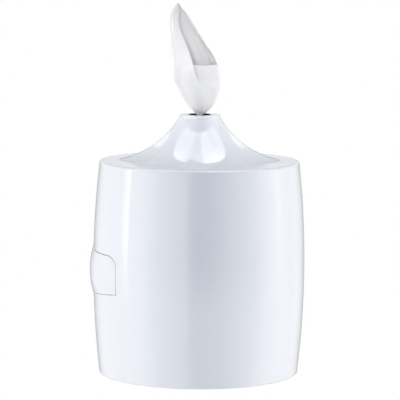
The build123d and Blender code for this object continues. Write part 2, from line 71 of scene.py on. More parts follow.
def new_material(name):
    material = bpy.data.materials.new(name)
    material.use_nodes = True
    return material, material.node_tree.nodes, material.node_tree.links


def coordinates(nodes, links, scale=(1, 1, 1)):
    """Object coordinates, which are the frame's own, stretched by a scale."""
    source = nodes.new("ShaderNodeTexCoord")
    mapping = nodes.new("ShaderNodeMapping")
    mapping.inputs["Scale"].default_value = scale
    links.new(source.outputs["Object"], mapping.inputs["Vector"])
    return mapping.outputs["Vector"]


def noise(nodes, links, vector, scale, detail=2.0, roughness=0.5):
    node = nodes.new("ShaderNodeTexNoise")
    node.inputs["Scale"].default_value = scale
    node.inputs["Detail"].default_value = detail
    node.inputs["Roughness"].default_value = roughness
    links.new(vector, node.inputs["Vector"])
    return node.outputs["Fac"]


def ranged(nodes, links, value, low, high, to_low, to_high):
    node = nodes.new("ShaderNodeMapRange")
    for name, number in (("From Min", low), ("From Max", high), ("To Min", to_low), ("To Max", to_high)):
        node.inputs[name].default_value = number
    links.new(value, node.inputs["Value"])
    return node.outputs["Result"]


def blended(nodes, links, factor, a, b):
    """Colour a where the factor is 0 and b where it is 1."""
    node = nodes.new("ShaderNodeMix")
    node.data_type = "RGBA"
    node.inputs["A"].default_value = (*a, 1)
    node.inputs["B"].default_value = (*b, 1)
    links.new(factor, node.inputs["Factor"])
    return node.outputs["Result"]


def bump(nodes, links, height, strength, distance, under=None):
    node = nodes.new("ShaderNodeBump")
    node.inputs["Strength"].default_value = strength
    node.inputs["Distance"].default_value = distance
    links.new(height, node.inputs["Height"])
    if under is not None:
        links.new(under, node.inputs["Normal"])
    return node.outputs["Normal"]


def math_node(nodes, links, operation, a, b=None, c=None):
    node = nodes.new("ShaderNodeMath")
    node.operation = operation
    for socket, value in zip(node.inputs, (a, b, c)):
        if value is None:
            continue
        if isinstance(value, (int, float)):
            socket.default_value = value
        else:
            links.new(value, socket)
    return node.outputs["Value"]


def distance_from_axis(nodes, links):
    """Distance from the barrel's upright axis."""
    source = nodes.new("ShaderNodeTexCoord")
    split = nodes.new("ShaderNodeSeparateXYZ")
    links.new(source.outputs["Object"], split.inputs["Vector"])
    y = math_node(nodes, links, "SUBTRACT", split.outputs["Y"], AXIS_Y)
    xx = math_node(nodes, links, "MULTIPLY", split.outputs["X"], split.outputs["X"])
    yy = math_node(nodes, links, "MULTIPLY", y, y)
    return math_node(nodes, links, "SQRT", math_node(nodes, links, "ADD", xx, yy)), split.outputs["Z"]


def clouded(nodes, links, cloud, a, b):
    """Colour that goes from a to b over the middle range of a noise."""
    return blended(nodes, links, ranged(nodes, links, cloud, 0.3, 0.7, 0.0, 1.0), a, b)


def darker(colour, share):
    return tuple(c * share for c in colour)


def subsurface(shader, weight, radius):
    shader.inputs["Subsurface Weight"].default_value = weight
    shader.inputs["Subsurface Radius"].default_value = (radius, radius, radius)
    shader.inputs["Subsurface Scale"].default_value = 1.0


def shell_material(name, base, gloss):
    """Moulded gloss plastic: a polished outside with a faint orange peel, satin inside."""
    material, nodes, links = new_material(name)
    shader = nodes["Principled BSDF"]
    vector = coordinates(nodes, links)
    radius, height = distance_from_axis(nodes, links)
    rise = math_node(nodes, links, "SUBTRACT", height, BARREL_MIDDLE)
    swell = math_node(nodes, links, "MULTIPLY", math_node(nodes, links, "MULTIPLY", rise, rise), BARREL_SWELL)
    skin = math_node(nodes, links, "SUBTRACT", BARREL_RADIUS - SKIN_DEPTH, swell)
    outside = math_node(nodes, links, "GREATER_THAN", radius, skin)
    above = math_node(nodes, links, "GREATER_THAN", height, SKIN_HEIGHT)
    polished = math_node(nodes, links, "MAXIMUM", outside, above)
    cloud = noise(nodes, links, vector, 9.0, 2.0)
    links.new(clouded(nodes, links, cloud, base, darker(base, 0.985)), shader.inputs["Base Color"])
    smear = noise(nodes, links, vector, 34.0, 5.0, 0.6)
    shine = ranged(nodes, links, smear, 0.35, 0.75, gloss, gloss + 0.035)
    rough = nodes.new("ShaderNodeMix")
    rough.inputs["A"].default_value = 0.38
    links.new(polished, rough.inputs["Factor"])
    links.new(shine, rough.inputs["B"])
    links.new(rough.outputs["Result"], shader.inputs["Roughness"])
    shader.inputs["IOR"].default_value = 1.5
    subsurface(shader, 0.3, 0.0012)
    peel = noise(nodes, links, vector, 260.0, 2.0)
    wave = noise(nodes, links, vector, 22.0, 1.0)
    normal = bump(nodes, links, wave, 0.05, 0.0006)
    links.new(bump(nodes, links, peel, 0.03, 0.0001, normal), shader.inputs["Normal"])
    return material


def plain_plastic(name, base, rough, grain, shine=0.5):
    """Plastic or rubber with a fine grain."""
    material, nodes, links = new_material(name)
    shader = nodes["Principled BSDF"]
    vector = coordinates(nodes, links)
    cloud = noise(nodes, links, vector, 25.0, 3.0)
    links.new(clouded(nodes, links, cloud, base, darker(base, 0.96)), shader.inputs["Base Color"])
    fine = noise(nodes, links, vector, 900.0, 2.0)
    links.new(ranged(nodes, links, fine, 0.3, 0.7, rough, rough + 0.08), shader.inputs["Roughness"])
    links.new(bump(nodes, links, fine, grain, 0.0002), shader.inputs["Normal"])
    shader.inputs["Specular IOR Level"].default_value = shine
    return material


def metal_material(name, base, rough, stretch):
    """Plated steel with fine drawn lines across one direction."""
    material, nodes, links = new_material(name)
    shader = nodes["Principled BSDF"]
    shader.inputs["Metallic"].default_value = 1.0
    lines = noise(nodes, links, coordinates(nodes, links, stretch), 1.0, 3.0, 0.6)
    spots = noise(nodes, links, coordinates(nodes, links), 180.0, 3.0)
    links.new(clouded(nodes, links, spots, base, darker(base, 0.86)), shader.inputs["Base Color"])
    links.new(ranged(nodes, links, lines, 0.3, 0.7, rough, rough + 0.14), shader.inputs["Roughness"])
    links.new(bump(nodes, links, lines, 0.12, 0.00005), shader.inputs["Normal"])
    return material


def cloth_material(name, base, emboss):
    """Non-woven cloth: laid fibres, faint clouds of thicker and thinner fleece, small embossed dots."""
    material, nodes, links = new_material(name)
    shader = nodes["Principled BSDF"]
    vector = coordinates(nodes, links)
    cloud = noise(nodes, links, vector, 160.0, 4.0, 0.6)
    links.new(clouded(nodes, links, cloud, base, darker(base, 0.965)), shader.inputs["Base Color"])
    shader.inputs["Roughness"].default_value = 0.85
    shader.inputs["Specular IOR Level"].default_value = 0.2
    shader.inputs["Sheen Weight"].default_value = 0.25
    shader.inputs["Sheen Roughness"].default_value = 0.5
    subsurface(shader, 0.4, 0.0006)
    along = noise(nodes, links, coordinates(nodes, links, (2600, 2600, 320)), 1.0, 3.0, 0.7)
    across = noise(nodes, links, coordinates(nodes, links, (500, 500, 2400)), 1.0, 3.0, 0.7)
    normal = bump(nodes, links, along, 0.35, 0.00015)
    normal = bump(nodes, links, across, 0.25, 0.00015, normal)
    dots = nodes.new("ShaderNodeTexVoronoi")
    dots.inputs["Scale"].default_value = 420.0
    dots.inputs["Randomness"].default_value = 0.25
    links.new(vector, dots.inputs["Vector"])
    pressed = ranged(nodes, links, dots.outputs["Distance"], 0.15, 0.4, 0.0, 1.0)
    links.new(bump(nodes, links, pressed, emboss, 0.0002, normal), shader.inputs["Normal"])
    return material


def film_material(name):
    """Thin translucent bag film with fine crinkles."""
    material, nodes, links = new_material(name)
    shader = nodes["Principled BSDF"]
    vector = coordinates(nodes, links)
    tone = ranged(nodes, links, noise(nodes, links, vector, 40.0, 4.0), 0.3, 0.7, 0.0, 1.0)
    tint = blended(nodes, links, tone, (0.80, 0.86, 0.92), (0.72, 0.79, 0.88))
    links.new(tint, shader.inputs["Base Color"])
    shader.inputs["Alpha"].default_value = 0.42
    shader.inputs["IOR"].default_value = 1.5
    fold = nodes.new("ShaderNodeTexVoronoi")
    fold.feature = "DISTANCE_TO_EDGE"
    fold.inputs["Scale"].default_value = 55.0
    links.new(vector, fold.inputs["Vector"])
    crease = ranged(nodes, links, fold.outputs["Distance"], 0.0, 0.12, 1.0, 0.0)
    links.new(ranged(nodes, links, tone, 0.0, 1.0, 0.12, 0.24), shader.inputs["Roughness"])
    normal = bump(nodes, links, crease, 0.35, 0.0006)
    fine = noise(nodes, links, vector, 120.0, 4.0)
    links.new(bump(nodes, links, fine, 0.3, 0.0006, normal), shader.inputs["Normal"])
    return material


WHITE = (0.88, 0.885, 0.905)
shell = shell_material("gloss_shell", WHITE, 0.045)
pad = shell_material("gloss_pad", WHITE, 0.06)
lip = plain_plastic("lip_plastic", (0.90, 0.90, 0.915), 0.16, 0.02)
inner = plain_plastic("satin_plastic", (0.83, 0.83, 0.84), 0.42, 0.12)
rubber = plain_plastic("black_rubber", (0.008, 0.008, 0.009), 0.8, 0.35, 0.12)
steel = metal_material("zinc_steel", (0.66, 0.66, 0.67), 0.26, (300, 300, 4000))
spring = metal_material("spring_steel", (0.5, 0.51, 0.53), 0.3, (200, 200, 5000))
cloth = cloth_material("wipe_cloth", (0.935, 0.913, 0.890), 0.25)
film = film_material("bag_film")

NODE_MATERIALS = {
    "front_cover": shell, "rear_housing": shell, "latch_lever": pad, "nozzle_collar": lip,
    "base_tray": inner, "nozzle_retainer": inner, "nozzle_diaphragm": rubber,
    "hinge_pin_upper": steel, "hinge_pin_lower": steel, "latch_pivot_pin": steel,
    "base_tray_screws": steel, "latch_strike_screws": steel, "latch_spring_screw": steel,
    "hinge_pin_clips": spring, "latch_pin_clip": spring, "latch_strike": spring, "latch_spring": spring,
}
for node_name, material in NODE_MATERIALS.items():
    slots = NODES[node_name].data.materials
    slots.clear()
    slots.append(material)


# Pieces

def mesh_piece(name, points, faces, material, body):
    """A smooth mesh that moves with a body."""
    mesh = bpy.data.meshes.new(name)
    mesh.from_pydata([tuple(p) for p in points], [], faces)
    mesh.validate()
    mesh.update()
    mesh.shade_smooth()
    mesh.materials.append(material)
    piece = bpy.data.objects.new(name, mesh)
    bpy.context.scene.collection.objects.link(piece)
    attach(piece, body)
    return piece


def grid_faces(rows, columns, closed=False):
    """Quads of a grid of rows by columns of points, row after row."""
    faces = []
    span = columns if closed else columns - 1
    for i in range(rows - 1):
        for j in range(span):
            k = (j + 1) % columns
            faces.append((i * columns + j, i * columns + k, (i + 1) * columns + k, (i + 1) * columns + j))
    return faces


def smoothstep(low, high, value):
    t = min(1.0, max(0.0, (value - low) / (high - low)))
    return t * t * (3 - 2 * t)


# The standing wipe, in millimetres from the middle of the neck's top. One sheet: it runs from the
# front flap's free edge round the left side and the back to the right side, and below the panel's
# top on round the right side and in behind the flap. Each table gives a height and, at it, the x of a
# line of the sheet or the depth of its front or back.
LEFT_SIDE = ((-52, -4.6), (-3, -4.6), (0, -4.2), (3, -7.0), (8.4, -12.4), (13.6, -16.3), (18.8, -19.6),
             (24, -22.8), (29, -25.6), (34, -28.4), (39.5, -31.0), (45, -33.2), (50, -34.4), (55, -34.8),
             (66, -35.0), (71, -35.7), (76, -36.7), (81, -37.4), (97, -37.8), (107, -38.3), (117, -39.1),
             (122, -39.2), (128, -38.8), (133, -37.6), (138, -34.9), (141, -33.0), (144, -30.2))
RIGHT_SIDE = ((-52, 4.6), (-3, 4.6), (0, 4.2), (3, 8.0), (8.4, 14.0), (13.6, 17.6), (18.8, 20.2), (24, 22.1),
              (29, 23.6), (34, 24.6), (40, 25.1), (50, 24.9), (55, 24.3), (60, 23.4), (66, 22.2), (71, 20.2),
              (76, 17.6), (81, 14.5), (86, 10.8), (91, 7.2), (97, 3.7), (102, 0.3), (107, -2.8), (112, -5.8),
              (117, -9.0), (122, -12.0), (128, -15.6), (133, -19.4), (138, -24.0), (141, -26.0), (144, -28.0))
FLAP_EDGE = ((-52, 4.2), (0, 3.9), (3, 7.4), (8.4, 13.0), (13.6, 16.2), (18.8, 18.4), (24, 19.6), (29, 19.8),
             (33, 18.4), (36, 15.0), (38.5, 9.0), (40.5, 4.0), (43, 0.2), (45.5, -2.6), (52, -5.2),
             (61, -7.8), (76.5, -12.4), (89, -17.0), (109, -25.5), (117, -28.2), (125, -28.2), (133, -27.4), (141, -28.2),
             (144, -28.6))
INNER_END = ((0, -1.0), (20, 3.0), (36, -4.0), (45, -9.0), (66, -12.5), (144, -30.0))
FRONT_DEPTH = ((0, 3.1), (3, 4.4), (8, 6.4), (16, 8.2), (26, 11.0), (36, 13.0), (48, 14.4), (60, 14.4),
               (72, 13.2), (86, 11.2), (100, 9.2), (114, 7.2), (126, 5.0), (136, 2.9), (144, 0.7))
BACK_DEPTH = ((0, 2.9), (8, 6.0), (16, 8.8), (26, 12.0), (36, 14.2), (48, 15.4), (60, 15.2), (72, 14.0),
              (86, 12.0), (100, 9.8), (114, 7.4), (126, 5.0), (136, 2.6), (144, 0.5))
# Heights: the sheet's foot, the top of the panel behind the flap, and the tip.
FOOT, PANEL_TOP, TIP = -52, 66.0, 144.0
SHEET_WIDTH = 150.0
SHEET_THICKNESS = 0.00045
# Rows of points below the neck's top, up to the panel's top and from there to the tip.
FOOT_ROWS, PANEL_ROWS, TIP_ROWS = 27, 67, 66
FRONT_COLUMNS, PANEL_COLUMNS = 250, 110
PLEATS = 26
# Points on each span of a section's curve, and the place of the right side among its given points.
SPAN_STEPS, RIGHT_PLACE = 24, 6


def at_height(table, h):
    return float(np.interp(h, [t[0] for t in table], [t[1] for t in table]))


def soft_curve(points):
    """Points on a soft curve through the given ones."""
    p = np.array(points, float)
    p = np.vstack([2 * p[0] - p[1], p, 2 * p[-1] - p[-2]])
    t = np.linspace(0, 1, SPAN_STEPS, endpoint=False)[:, None]
    spans = [0.5 * (2 * b + (c - a) * t + (2 * a - 5 * b + 4 * c - d) * t ** 2
                    + (3 * b - a - 3 * c + d) * t ** 3)
             for a, b, c, d in zip(p[:-3], p[1:-2], p[2:-1], p[3:])]
    return np.vstack(spans + [p[-2:-1]])


def section(h):
    """The sheet's line in plan at a height: evenly spaced to the right side, then on behind the flap."""
    left, right, edge, inner = (at_height(t, h) for t in (LEFT_SIDE, RIGHT_SIDE, FLAP_EDGE, INNER_END))
    front, back = at_height(FRONT_DEPTH, h), at_height(BACK_DEPTH, h)
    wide = right - left
    hollow = 1 - 0.12 * smoothstep(52, 66, h) * (1 - smoothstep(72, 92, h))
    middle = (left + right) / 2

    def bowed(x, depth):
        return -depth * sqrt(max(0.06, 1 - ((x - middle) / (0.505 * wide)) ** 2))

    # Behind the flap the sheet keeps this share of the front's depth, and less of it further up.
    behind_flap = max(0.6, 1 - 1.5 / front)
    tucked = behind_flap + (0.5 - behind_flap) * smoothstep(37, 46, h)
    lifted = 0.96 + 0.08 * smoothstep(38, 50, h)
    near, far = 0.60 * edge + 0.40 * left, 0.24 * edge + 0.76 * left
    turn = right - 0.14 * (right - inner)
    line = soft_curve((
        (edge, lifted * bowed(edge, front)),
        (near, bowed(near, front) * hollow),
        (far, bowed(far, front) * hollow),
        (left, 0.0),
        (left + 0.26 * wide, 0.8 * back),
        (left + 0.74 * wide, 0.86 * back),
        (right, 0.1 * back),
        (turn, 0.9 * tucked * bowed(turn, front)),
        (inner, tucked * bowed(inner, front)),
    ))
    run = np.concatenate([[0], np.cumsum(np.linalg.norm(np.diff(line, axis=0), axis=1))])
    at_right = run[RIGHT_PLACE * SPAN_STEPS]
    to_right = np.linspace(0, at_right, FRONT_COLUMNS)
    want = np.concatenate([to_right, np.linspace(at_right, run[-1], PANEL_COLUMNS)[1:]])
    return np.stack([np.interp(want, run, line[:, k]) for k in (0, 1)], 1)


def sheet_length(row):
    return float(np.linalg.norm(np.diff(row, axis=0), axis=1).sum())


def gathered(row, h):
    """Pulls a level's line in pleats towards its middle until it is as long as the sheet is wide."""
    middle = row.mean(0)
    u = np.linspace(0, 1, len(row))
    pleat = 2 * pi * PLEATS * u + 0.4 + 0.8 * np.sin(h / 23 + 5 * u)
    # Above the neck the pleats are mostly on the back, and on the front only near its foot.
    behind = np.clip((row[:, 1] + 1) / 9, 0, 1) if h > 0 else np.ones(len(row))
    shown = 1 - smoothstep(1, 22, h)
    weight = (0.5 + 0.5 * np.cos(pleat)) * (behind + (1 - behind) * 0.45 * shown)
    target = SHEET_WIDTH * (1 - smoothstep(16, 52, h))
    low, high = 0.0, 0.86
    for _ in range(14):
        pull = (low + high) / 2
        out = middle + (row - middle) * (1 - pull * weight)[:, None]
        low, high = (pull, high) if sheet_length(out) < target else (low, pull)
    return out


def standing_wipe():
    """One wipe: an open roll of cloth standing out of the nozzle, gathered into a strand below it."""
    low_heights = list(np.linspace(FOOT, 0, FOOT_ROWS)[:-1]) + list(np.linspace(0, PANEL_TOP, PANEL_ROWS))
    high_heights = list(np.linspace(PANEL_TOP, TIP, TIP_ROWS))[1:]
    rows = np.array([section(h) for h in low_heights + high_heights])
    # Evened out from just above the neck's top.
    k = FOOT_ROWS + 1
    for _ in range(6):
        rows[k:-1] = 0.25 * rows[k - 1:-2] + 0.5 * rows[k:-1] + 0.25 * rows[k + 1:]
    columns = FRONT_COLUMNS + PANEL_COLUMNS - 1
    points = []
    for i, h in enumerate(low_heights):
        turn = 0.012 * max(0.0, -h)
        for j, (x, y) in enumerate(gathered(rows[i], h)):
            sway = 0.5 * sin(x / 9 + h / 13) * smoothstep(20, 50, h)
            along = max(0, j - FRONT_COLUMNS) / PANEL_COLUMNS
            dip = 2.2 * sin(pi * along) * smoothstep(40, PANEL_TOP, h)
            points.append((x * cos(turn) - y * sin(turn), x * sin(turn) + y * cos(turn) + sway, h - dip))
    faces = grid_faces(len(low_heights), columns)
    # Above the panel's top only the front columns go on, from the last row so far.
    first = len(points)
    start = first - columns
    for i, h in enumerate(high_heights):
        for x, y in rows[len(low_heights) + i][:FRONT_COLUMNS]:
            points.append((x, y + 0.5 * sin(x / 9 + h / 13) * (1 - smoothstep(120, 142, h)), h))
    for j in range(FRONT_COLUMNS - 1):
        faces.append((start + j, start + j + 1, first + j + 1, first + j))
    faces += [tuple(first + k for k in f) for f in grid_faces(len(high_heights), FRONT_COLUMNS)]
    placed = [(x / 1000, AXIS_Y + y / 1000, NECK_TOP + h / 1000) for x, y, h in points]
    piece = mesh_piece("wipe_standing", placed, faces, cloth, "wipe")
    thick = piece.modifiers.new("solidify", "SOLIDIFY")
    thick.thickness, thick.offset = SHEET_THICKNESS, 0.0
    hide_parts("wipe_tail")


# The feeding strand in metres: its lower and upper end, half its width and depth, the jagged tear's
# height, and the flat size of the sheet that is gathered into it.
STRAND_LOW, STRAND_HIGH = 0.0922, NECK_TOP - 0.0522
STRAND_X, STRAND_Y, STRAND_TEAR = 0.0045, 0.0029, 0.0006
STRAND_PLEATS, STRAND_FLAT = 24, (0.152, 0.055)


def feed_strand():
    """The top of the next wipe, gathered into the strand and torn off at its perforation."""
    columns, rows = 320, 46
    points = []
    for i in range(rows):
        t = i / (rows - 1)
        z = STRAND_LOW + (STRAND_HIGH - STRAND_LOW) * t
        turn = 0.7 * (1 - t)
        torn = STRAND_TEAR * (1 - smoothstep(0, 0.1, t))
        for j in range(columns):
            u = j / columns * 2 * pi
            pull = 0.5 + 0.5 * cos(STRAND_PLEATS * u + 0.5 * sin(4 * u + 3 * t))
            grow = 1 - 0.78 * pull
            x, y = STRAND_X * cos(u) * grow, STRAND_Y * sin(u) * grow
            drop = torn * (1 + sin(7 * u))
            points.append((x * cos(turn) - y * sin(turn), AXIS_Y + x * sin(turn) + y * cos(turn), z + drop))
    piece = mesh_piece("wipe_strand", points, grid_faces(rows, columns, closed=True), cloth, "wipe")
    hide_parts("wipe_feed")


def roll_material():
    """Wound cloth: fine spiral layers on the ends, faint bands of pressed layers on the side."""
    material, nodes, links = new_material("wound_cloth")
    shader = nodes["Principled BSDF"]
    vector = coordinates(nodes, links)
    radius, height = distance_from_axis(nodes, links)
    drift = noise(nodes, links, vector, 30.0, 3.0)
    wound = math_node(nodes, links, "ADD", math_node(nodes, links, "MULTIPLY", radius, 5200.0),
                      math_node(nodes, links, "MULTIPLY", drift, 9.0))
    layers = math_node(nodes, links, "SINE", wound)
    tone = ranged(nodes, links, layers, -1.0, 1.0, 0.0, 1.0)
    tint = blended(nodes, links, tone, (0.80, 0.80, 0.79), (0.93, 0.93, 0.92))
    links.new(tint, shader.inputs["Base Color"])
    shader.inputs["Roughness"].default_value = 0.88
    shader.inputs["Specular IOR Level"].default_value = 0.2
    shader.inputs["Sheen Weight"].default_value = 0.2
    normal = bump(nodes, links, layers, 0.5, 0.0005)
    fibre = noise(nodes, links, vector, 1500.0, 3.0)
    links.new(bump(nodes, links, fibre, 0.4, 0.0003, normal), shader.inputs["Normal"])
    return material


# The rubber's flaps: how many, the columns of points on each, the radii from where they bend to their
# tips, how far they ride up there and at their tips, and how deep the slits between them are pressed in.
FLAPS, FLAP_COLUMNS = 12, 30
FLAP_RADII = list(np.linspace(0.0153, 0.0118, 9)) + list(np.linspace(0.0110, 0.0050, 9))
FLAP_RISE, FLAP_TIP_RISE, SLIT_DEPTH = 0.0027, 0.0004, 0.0009


def slit_rubber():
    """Star-cut rubber in the nozzle: its flaps ride up against the wipe that is pulled through them."""
    low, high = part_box("nozzle_diaphragm")
    outer, seat, thick = (high.x - low.x) / 2, high.z, high.z - low.z
    columns = FLAPS * FLAP_COLUMNS
    radii = [outer] + FLAP_RADII
    top, under = [], []
    for r in radii:
        rise = FLAP_RISE * smoothstep(-0.0154, -0.0128, -r) + FLAP_TIP_RISE * smoothstep(-0.0090, -0.0050, -r)
        slit = SLIT_DEPTH * smoothstep(-0.0140, -0.0105, -r)
        thinner = 1 - 0.35 * smoothstep(-0.0150, -0.0100, -r)
        for j in range(columns):
            a, u = 2 * pi * j / columns, (j % FLAP_COLUMNS) / FLAP_COLUMNS
            held = 1 - 0.8 * smoothstep(0.25, 0.95, -sin(a))
            z = seat + rise * held * (0.86 + 0.14 * sin(pi * u)) - slit * (1 - min(1.0, min(u, 1 - u) * 10))
            y = r * sin(a) * (1 - 0.3 * smoothstep(-0.0140, -0.0050, -r))
            top.append((r * cos(a), AXIS_Y + y, z))
            under.append((r * cos(a), AXIS_Y + y, z - thick * thinner))
    rows, count = len(radii), len(top)
    grid = grid_faces(rows, columns, closed=True)
    faces = grid + [tuple(count + k for k in reversed(f)) for f in grid]
    last = (rows - 1) * columns
    for j in range(columns):
        n = (j + 1) % columns
        faces.append((n, j, count + j, count + n))
        faces.append((last + j, last + n, count + last + n, count + last + j))
    piece = mesh_piece("nozzle_flaps", top + under, faces, rubber, "cover")
    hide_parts("nozzle_diaphragm")


def refill_roll():
    """The roll: a closed ring round the axis with soft edges, uneven outside and on top."""
    low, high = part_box("wipe_roll")
    bottom, top = low.z + APART, high.z - APART
    outer, bore, soft = ROLL_RADIUS - APART, ROLL_BORE + APART, 0.0022
    steps = np.linspace(0, pi / 2, 6)
    profile = []
    for start, end, z, inward, down in ((outer, bore, top, -1, 1), (bore, outer, bottom, 1, -1)):
        profile += [(start + inward * soft * (1 - cos(a)), z - down * soft * (1 - sin(a))) for a in steps]
        profile += [(start + (end - start) * s, z) for s in np.linspace(0.04, 0.96, 26)]
        profile += [(end - inward * soft * (1 - cos(a)), z - down * soft * (1 - sin(a))) for a in steps[::-1]]
    count = 180
    points = []
    for r, z in profile:
        for j in range(count):
            a = 2 * pi * j / count
            dent = abs(0.00035 * sin(9 * a + 60 * r / outer) + 0.0003 * sin(23 * a + 4000 * z)) * (r > 0.05)
            sunk = abs(0.0006 * sin(3 * a + 50 * r)) if z > 0 else 0.0
            points.append(((r - dent) * cos(a), AXIS_Y + (r - dent) * sin(a), z - sunk))
    rows = len(profile)
    faces = []
    for i in range(rows):
        n = (i + 1) % rows
        for j in range(count):
            k = (j + 1) % count
            faces.append((i * count + j, n * count + j, n * count + k, i * count + k))
    piece = mesh_piece("refill_roll", points, faces, roll_material(), "housing")
    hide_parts("wipe_roll")


# The bag's film in metres: its radius, the roundings at its foot and at its mouth, the width of the
# mouth that is folded in, and its height above the bag's box.
BAG_RADIUS, BAG_FOOT, BAG_SHOULDER, BAG_MOUTH, BAG_LIFT = 0.0929, 0.003, 0.006, 0.044, 0.0003


def refill_bag():
    """Film bag round the roll, its mouth folded back in small pleats."""
    low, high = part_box("refill_bag")
    bottom, top, outer = low.z, high.z, BAG_RADIUS
    neck = outer - BAG_SHOULDER
    profile = [(0.004, bottom + BAG_LIFT)]
    profile += [(0.02 + 0.068 * s, bottom + BAG_LIFT) for s in np.linspace(0, 1, 10)]
    profile += [(outer - BAG_FOOT * (1 - sin(a)), bottom + BAG_FOOT * (1 - cos(a)) + BAG_LIFT)
                for a in np.linspace(0, pi / 2, 6)]
    profile += [(outer, bottom + 0.006 + (top - bottom - 0.016) * s) for s in np.linspace(0, 1, 60)]
    profile += [(outer - BAG_SHOULDER * (1 - cos(a)), top - 0.009 + BAG_SHOULDER * sin(a))
                for a in np.linspace(0.2, pi / 2, 6)]
    profile += [(neck - BAG_MOUTH * s, top - 0.003 - 0.003 * sin(pi * s)) for s in np.linspace(0.05, 1, 22)]
    count = 260
    points = []
    for r, z in profile:
        at_mouth = (z - bottom) / (top - bottom) > 0.95 and r < 0.086
        pleat = 0.0022 * (0.0865 - r) / BAG_MOUTH if at_mouth else 0.0
        for j in range(count):
            a = 2 * pi * j / count
            dent = 0.0006 * (0.5 + 0.5 * sin(17 * a + 9 * sin(31 * z + a))) if r > 0.088 else 0.0
            cross = pleat * sin(46 * a + 2.0 * sin(3 * a))
            points.append(((r - dent) * cos(a), AXIS_Y + (r - dent) * sin(a), z + cross - APART))
    piece = mesh_piece("refill_film", points, grid_faces(len(profile), count, closed=True), film, "housing")
    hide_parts("refill_bag")


standing_wipe()
feed_strand()
slit_rubber()
refill_roll()
refill_bag()


# Studio: a floor a metre under the wall-mounted object, soft light from both sides, white behind

FLOOR_RADIUS, FLOOR_HEIGHT, FLOOR_CORNERS = 3.2, -1.25, 96
CAMERA_SENSOR, CAMERA_LENS, CAMERA_ROLL = 36.0, 222.1, 0.35
CAMERA_PLACE, CAMERA_AIM = (0.001, AXIS_Y - 3.2, 0.468), (0.001, AXIS_Y, 0.086)
# Soft boxes: azimuth and elevation in degrees, distance, width, height, brightness and colour.
# Azimuth 0 is the camera's side, positive to its right. They face this height on the axis.
SOFT_BOXES_FACE = 0.05
WARM, NEUTRAL = (1.0, 0.98, 0.95), (1.0, 1.0, 1.0)
SOFT_BOXES = {
    "soft_box_left": (-90, 6, 1.6, 0.5, 1.3, 6.6, WARM),
    "soft_box_right": (90, 6, 1.6, 0.5, 1.3, 6.6, WARM),
    "soft_box_back": (180, 6, 1.8, 1.2, 1.2, 3.2, NEUTRAL),
    "soft_box_wipe": (-16, 16, 1.2, 0.1, 0.1, 0.38, NEUTRAL),
}
# The wipe's own narrow beam: how far it is raised, and its spread in degrees.
WIPE_BEAM_RAISED, WIPE_BEAM_SPREAD = 0.205, 9


def floor():
    """A pale disc that the gloss doesn't mirror."""
    mesh = bpy.data.meshes.new("floor")
    ring = [(FLOOR_RADIUS * cos(a), AXIS_Y + FLOOR_RADIUS * sin(a), FLOOR_HEIGHT)
            for a in np.linspace(0, 2 * pi, FLOOR_CORNERS, endpoint=False)]
    mesh.from_pydata(ring, [], [tuple(range(FLOOR_CORNERS))])
    piece = bpy.data.objects.new("floor", mesh)
    bpy.context.scene.collection.objects.link(piece)
    material, nodes, links = new_material("pale_floor")
    shader = nodes["Principled BSDF"]
    cloud = noise(nodes, links, coordinates(nodes, links), 3.0, 3.0)
    links.new(clouded(nodes, links, cloud, (0.9, 0.9, 0.9), (0.88, 0.88, 0.885)), shader.inputs["Base Color"])
    shader.inputs["Roughness"].default_value = 0.9
    path = nodes.new("ShaderNodeLightPath")
    clear = nodes.new("ShaderNodeBsdfTransparent")
    mix = nodes.new("ShaderNodeMixShader")
    links.new(path.outputs["Is Glossy Ray"], mix.inputs["Fac"])
    links.new(shader.outputs["BSDF"], mix.inputs[1])
    links.new(clear.outputs["BSDF"], mix.inputs[2])
    links.new(mix.outputs["Shader"], nodes["Material Output"].inputs["Surface"])
    mesh.materials.append(material)


def camera():
    data = bpy.data.cameras.new("camera")
    data.sensor_width = CAMERA_SENSOR
    data.lens = CAMERA_LENS
    piece = bpy.data.objects.new("camera", data)
    bpy.context.scene.collection.objects.link(piece)
    place = Vector(CAMERA_PLACE)
    turn = (Vector(CAMERA_AIM) - place).to_track_quat("-Z", "Y").to_matrix().to_4x4()
    piece.matrix_world = Matrix.Translation(place) @ turn @ Matrix.Rotation(radians(CAMERA_ROLL), 4, "Z")
    data.clip_end = 60
    bpy.context.scene.camera = piece


def soft_box(name, azimuth, elevation, distance, width, height, brightness, colour):
    """A soft box that faces the object. The gloss and the camera don't see it."""
    data = bpy.data.lights.new(name, "AREA")
    data.shape = "RECTANGLE"
    data.size, data.size_y = width, height
    data.energy = brightness * pi * width * height
    data.color = colour
    piece = bpy.data.objects.new(name, data)
    bpy.context.scene.collection.objects.link(piece)
    a, e = radians(azimuth), radians(elevation)
    middle = Vector((0, AXIS_Y, SOFT_BOXES_FACE))
    way = Vector((sin(a) * cos(e), -cos(a) * cos(e), sin(e)))
    piece.location = middle + way * distance
    piece.rotation_mode = "QUATERNION"
    piece.rotation_quaternion = way.to_track_quat("Z", "Y")
    piece.visible_glossy = False
    piece.visible_camera = False
    return piece


def ramp(nodes, links, value, low, high, stops):
    """Brightness along a value, through (value, brightness) stops."""
    node = nodes.new("ShaderNodeFloatCurve")
    curve = node.mapping.curves[0]
    node.mapping.use_clip = False
    top = max(b for _, b in stops)
    places = [((v - low) / (high - low), b / top) for v, b in stops]
    curve.points[0].location, curve.points[-1].location = places[0], places[-1]
    for place in places[1:-1]:
        curve.points.new(*place)
    for point in curve.points:
        point.handle_type = "VECTOR"
    node.mapping.update()
    links.new(ranged(nodes, links, value, low, high, 0.0, 1.0), node.inputs["Value"])
    return math_node(nodes, links, "MULTIPLY", node.outputs["Value"], top)


